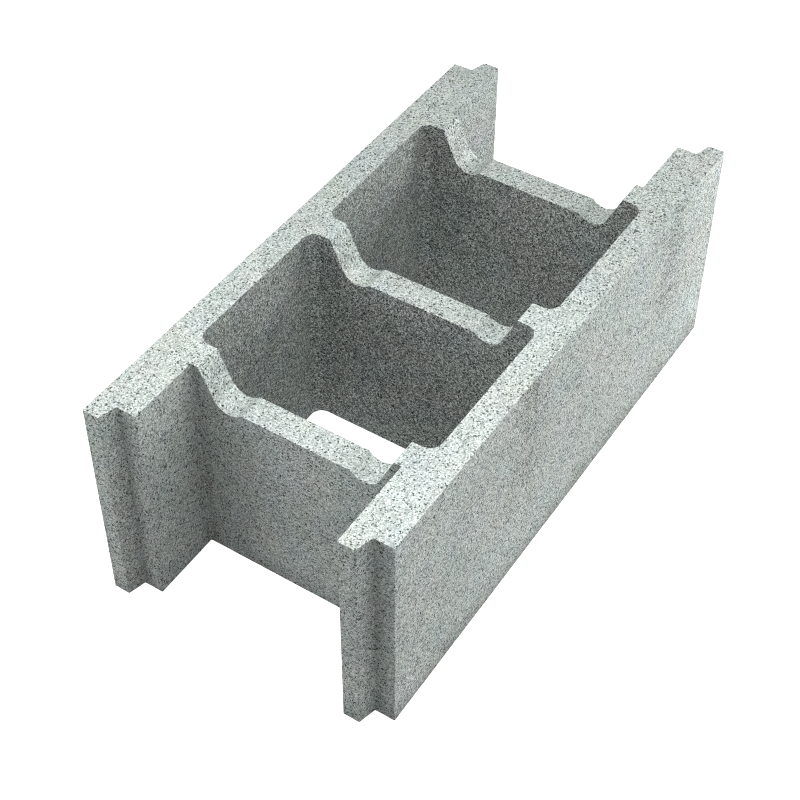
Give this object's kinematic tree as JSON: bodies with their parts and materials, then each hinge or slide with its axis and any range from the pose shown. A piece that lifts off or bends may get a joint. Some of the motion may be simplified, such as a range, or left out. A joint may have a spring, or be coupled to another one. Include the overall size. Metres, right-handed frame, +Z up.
{
  "type": "concrete formwork block",
  "caption": "Dry-cast concrete formwork block: two face shells joined by saddled webs, open cavities for concrete fill, bar seats and ship-lap ends.",
  "frame": {"origin": "on the bed, under the middle of the block", "axes": "+X through the wall, +Y along the wall, +Z up, with the saddles in the web tops upwards"},
  "size_m": [0.25, 0.51, 0.198],
  "materials": {
    "concrete": "matte"
  },
  "bodies": {
    "root": {"formwork_block": "concrete"}
  },
  "joints": []
}
